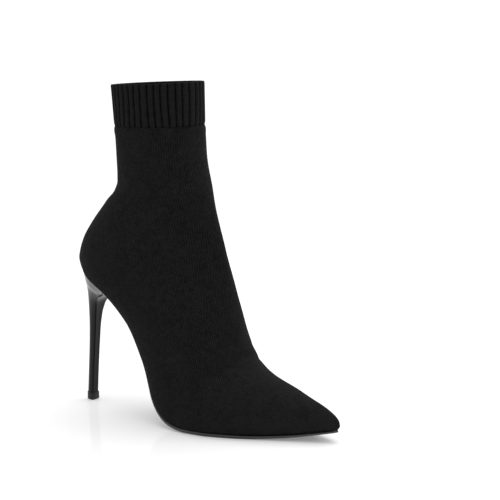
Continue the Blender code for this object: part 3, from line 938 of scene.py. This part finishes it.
def heel_shape():
    """The heel as a closed mesh, with more rings."""
    shape = bmesh.new()
    corners = []
    for ring in smooth_through(heel_rings(), RING_PARTS):
        points = [shape.verts.new(place) for place in ring]
        corners.append(points + points[:1])
    grid_faces(shape, corners)
    for ring in (corners[0], corners[-1]):
        shape.faces.new(ring[:-1])
    bmesh.ops.recalc_face_normals(shape, faces=shape.faces)
    return shape


def gloss_black_lacquer():
    """Lacquered ABS: deep black with a smooth gloss, and the faint waviness of a sprayed surface."""
    finish, tree, shader = new_finish("gloss_black_lacquer", Roughness=0.07, Specular_IOR_Level=0.145)
    place = add_node(tree, "ShaderNodeTexCoord")
    spray = add_node(tree, "ShaderNodeTexNoise", {
        "Vector": place.outputs["Object"], "Scale": 1.0 / SPRAY_SIZE, "Detail": 1.0})
    bump = add_node(tree, "ShaderNodeBump", {
        "Height": spray.outputs["Fac"], "Strength": 0.12, "Distance": SPRAY_RELIEF})
    tree.links.new(bump.outputs["Normal"], shader.inputs["Normal"])
    tone = add_node(tree, "ShaderNodeTexNoise", {
        "Vector": place.outputs["Object"], "Scale": 1.0 / LACQUER_TONE_SIZE, "Detail": 2.0})
    colours = add_node(tree, "ShaderNodeMix", {
        "Factor": tone.outputs["Fac"], COLOUR_A: linear("#050505"), COLOUR_B: linear("#0A0A0B")},
        data_type="RGBA")
    tree.links.new(colours.outputs[MIXED_COLOUR], shader.inputs["Base Color"])
    return finish


heel = piece_of("stiletto_heel", heel_shape(), gloss_black_lacquer())
smooth_shaded(heel)
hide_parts("heel")
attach(heel, "root")

# Heel top piece: the small hard wear piece under the stem, held by a steel pin that doesn't show.
# It is moulded polyurethane, satin rather than glossy, with a fine joint above it.
TOP_PIECE_EDGE = 0.3 * MM
TOP_PIECE_EDGE_TURN = math.radians(50.0)
TOP_PIECE_SHARP_EDGE = math.radians(40.0)
MOULD_GRAIN_SIZE = 0.4545 * MM
MOULD_GRAIN_RELIEF = 0.05 * MM

# The height where the scuffing has faded out, and its share at the floor.
SCUFF_HEIGHT = 1.2 * MM
SCUFF_SHARE = 0.6


def satin_black_polyurethane():
    """Moulded polyurethane: a satin black with fine moulding grain, scuffed a little lighter at the floor."""
    finish, tree, shader = new_finish("satin_black_polyurethane", Specular_IOR_Level=0.3, Roughness=0.42)
    place = add_node(tree, "ShaderNodeTexCoord")
    grain = add_node(tree, "ShaderNodeTexNoise", {
        "Vector": place.outputs["Object"], "Scale": 1.0 / MOULD_GRAIN_SIZE, "Detail": 2.0})
    split = add_node(tree, "ShaderNodeSeparateXYZ", {0: place.outputs["Object"]})
    scuff = add_node(tree, "ShaderNodeMapRange", {
        "Value": split.outputs["Z"], "From Max": SCUFF_HEIGHT, "To Min": SCUFF_SHARE, "To Max": 0.0})
    bump = add_node(tree, "ShaderNodeBump", {
        "Height": grain.outputs["Fac"], "Strength": 0.3, "Distance": MOULD_GRAIN_RELIEF})
    tree.links.new(bump.outputs["Normal"], shader.inputs["Normal"])
    colours = add_node(tree, "ShaderNodeMix", {
        "Factor": scuff.outputs["Result"], COLOUR_A: linear("#0A0A0A"), COLOUR_B: linear("#151515")},
        data_type="RGBA")
    tree.links.new(colours.outputs[MIXED_COLOUR], shader.inputs["Base Color"])
    return finish


top_piece = joined_piece("wear_piece", "heel_top_piece", satin_black_polyurethane())
apply_modifier(
    top_piece, "BEVEL", width=TOP_PIECE_EDGE, segments=3, limit_method="ANGLE",
    angle_limit=TOP_PIECE_EDGE_TURN)
smooth_shaded(top_piece, TOP_PIECE_SHARP_EDGE)
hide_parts("heel_top_piece")
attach(top_piece, "root")

# Floor: a wide white acrylic sheet with a slight mirror, which fades into the white behind it.
FLOOR_SIZE = 12.0
FLOOR_GLOW = 0.22
FLOOR_MIRROR = 0.14
FLOOR_MIRROR_ROUGH = 0.02
FADE_FROM = 0.45
FADE_TO = 2.0
WHITE_BEHIND = 1.1


def white_acrylic():
    """White acrylic sheet: a bright matt white with a weak blurred mirror, white all over far away."""
    finish = bpy.data.materials.new("white_acrylic")
    finish.use_nodes = True
    tree = finish.node_tree
    tree.nodes.remove(tree.nodes["Principled BSDF"])
    sheet_white = add_node(tree, "ShaderNodeBsdfDiffuse", {"Color": linear("#F4F4F4")})
    glow = add_node(tree, "ShaderNodeEmission", {"Color": linear("#FFFFFF"), "Strength": FLOOR_GLOW})
    matt = add_node(tree, "ShaderNodeAddShader", {0: sheet_white.outputs[0], 1: glow.outputs[0]})
    mirror = add_node(tree, "ShaderNodeBsdfGlossy", {
        "Color": linear("#FFFFFF"), "Roughness": FLOOR_MIRROR_ROUGH})
    sheet = add_node(tree, "ShaderNodeMixShader", {0: FLOOR_MIRROR, 1: matt.outputs[0], 2: mirror.outputs[0]})
    place = add_node(tree, "ShaderNodeTexCoord")
    away = add_node(tree, "ShaderNodeVectorMath", {0: place.outputs["Object"]}, operation="LENGTH")
    fade = add_node(tree, "ShaderNodeMapRange", {
        "Value": away.outputs["Value"], "From Min": FADE_FROM, "From Max": FADE_TO},
        interpolation_type="SMOOTHSTEP")
    white = add_node(tree, "ShaderNodeEmission", {"Color": linear("#FFFFFF"), "Strength": WHITE_BEHIND})
    both = add_node(tree, "ShaderNodeMixShader", {
        0: fade.outputs["Result"], 1: sheet.outputs[0], 2: white.outputs[0]})
    tree.links.new(both.outputs[0], tree.nodes["Material Output"].inputs["Surface"])
    return finish


bpy.ops.object.select_all(action="DESELECT")
bpy.ops.mesh.primitive_plane_add(size=FLOOR_SIZE)
floor = bpy.context.object
floor.name = "floor"
floor.data.materials.append(white_acrylic())

# Light: an even white tent, which gloss sees dimmer and the camera sees as the white behind, and a soft box
# overhead. A black card stands before the heel and faces the camera's way. Only gloss sees it.
TENT_LIGHT = 0.71
TENT_IN_GLOSS = 0.42
OVERHEAD_PLACE = Vector((0.0, 0.3, 1.5))
OVERHEAD_SIZE = 1.6
OVERHEAD_POWER = 17.0
BOOT_MIDDLE = Vector((0.0, 0.0, 0.12))
CAMERA_AZIMUTH = math.radians(33.02)
CARD_SIZE = 0.44
CARD_PLACE = (0.042, -0.226, 0.22)

world = bpy.data.worlds.new("white_tent")
bpy.context.scene.world = world
world.use_nodes = True
sky = world.node_tree
ray = add_node(sky, "ShaderNodeLightPath")
lit = add_node(sky, "ShaderNodeMix", {
    "Factor": ray.outputs["Is Glossy Ray"], "A": TENT_LIGHT, "B": TENT_IN_GLOSS}, data_type="FLOAT")
seen = add_node(sky, "ShaderNodeMix", {
    "Factor": ray.outputs["Is Camera Ray"], "A": lit.outputs[0], "B": WHITE_BEHIND}, data_type="FLOAT")
sky.links.new(seen.outputs[0], sky.nodes["Background"].inputs["Strength"])
sky.nodes["Background"].inputs["Color"].default_value = linear("#FFFFFF")


def black_card_paint():
    """Black card: no light of its own, and next to none back."""
    return new_finish(
        "black_card", Base_Color=linear("#050505"), Roughness=1.0, Specular_IOR_Level=0.0)[0]


bpy.ops.object.select_all(action="DESELECT")
bpy.ops.mesh.primitive_plane_add(
    size=CARD_SIZE, location=CARD_PLACE, rotation=(math.radians(90.0), 0.0, CAMERA_AZIMUTH))
card = bpy.context.object
card.name = "black_card"
card.data.materials.append(black_card_paint())
card.visible_camera = False
card.visible_diffuse = False
card.visible_shadow = False
card.visible_transmission = False

lamp = bpy.data.lights.new("overhead", "AREA")
lamp.shape = "SQUARE"
lamp.size = OVERHEAD_SIZE
lamp.energy = OVERHEAD_POWER
holder = bpy.data.objects.new("overhead", lamp)
holder.location = OVERHEAD_PLACE
holder.rotation_mode = "QUATERNION"
holder.rotation_quaternion = (BOOT_MIDDLE - OVERHEAD_PLACE).to_track_quat("-Z", "Y")
bpy.context.scene.collection.objects.link(holder)

# Camera: at the photograph's angle, a little above the boot, aimed at the middle of the frame.
CAMERA_PITCH = math.radians(9.6)
CAMERA_DISTANCE = 1.10091
CAMERA_AIM = Vector((0.04126, 0.00012, 0.13857))
CAMERA_LENS = 105.275
CAMERA_SENSOR = 36.0

back = Vector((
    math.sin(CAMERA_AZIMUTH) * math.cos(CAMERA_PITCH),
    -math.cos(CAMERA_AZIMUTH) * math.cos(CAMERA_PITCH),
    math.sin(CAMERA_PITCH),
))
camera_data = bpy.data.cameras.new("camera")
camera_data.lens = CAMERA_LENS
camera_data.sensor_width = CAMERA_SENSOR
camera = bpy.data.objects.new("camera", camera_data)
bpy.context.scene.collection.objects.link(camera)
camera.location = CAMERA_AIM + back * CAMERA_DISTANCE
camera.rotation_mode = "QUATERNION"
camera.rotation_quaternion = (-back).to_track_quat("-Z", "Y")
bpy.context.scene.camera = camera
bpy.context.scene.view_settings.view_transform = "Standard"
